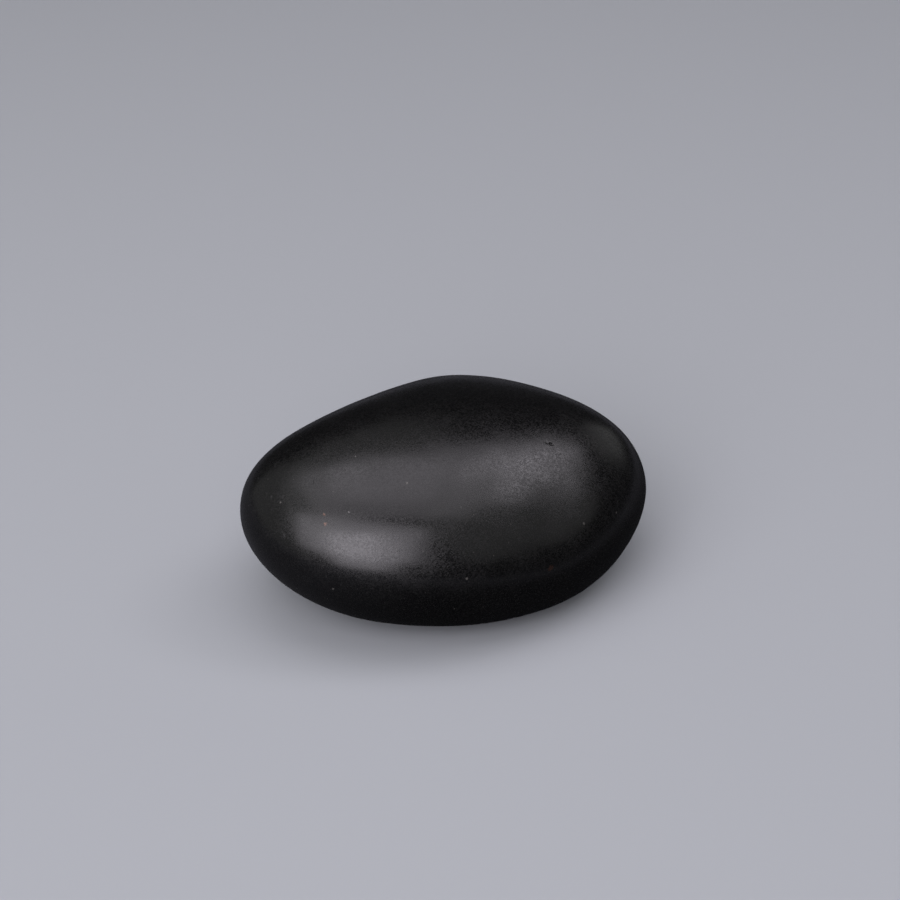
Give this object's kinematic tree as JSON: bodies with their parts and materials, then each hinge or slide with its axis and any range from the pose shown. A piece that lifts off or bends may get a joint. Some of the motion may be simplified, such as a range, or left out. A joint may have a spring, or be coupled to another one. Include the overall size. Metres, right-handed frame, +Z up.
{
  "type": "basalt massage stone",
  "caption": "Smooth, flattened oval basalt pebble with a satin polish, heated and laid on or glided over the body in a hot stone massage.",
  "frame": {"origin": "on the surface the stone rests on, under the centre of its bounding box", "axes": "+X along the stone's length, +Y across its width to the side with the blunt corner, +Z up through its thickness"},
  "size_m": [0.08, 0.064, 0.036],
  "materials": {
    "basalt": "satin polish"
  },
  "bodies": {
    "root": {"basalt_stone": "basalt"}
  },
  "joints": []
}
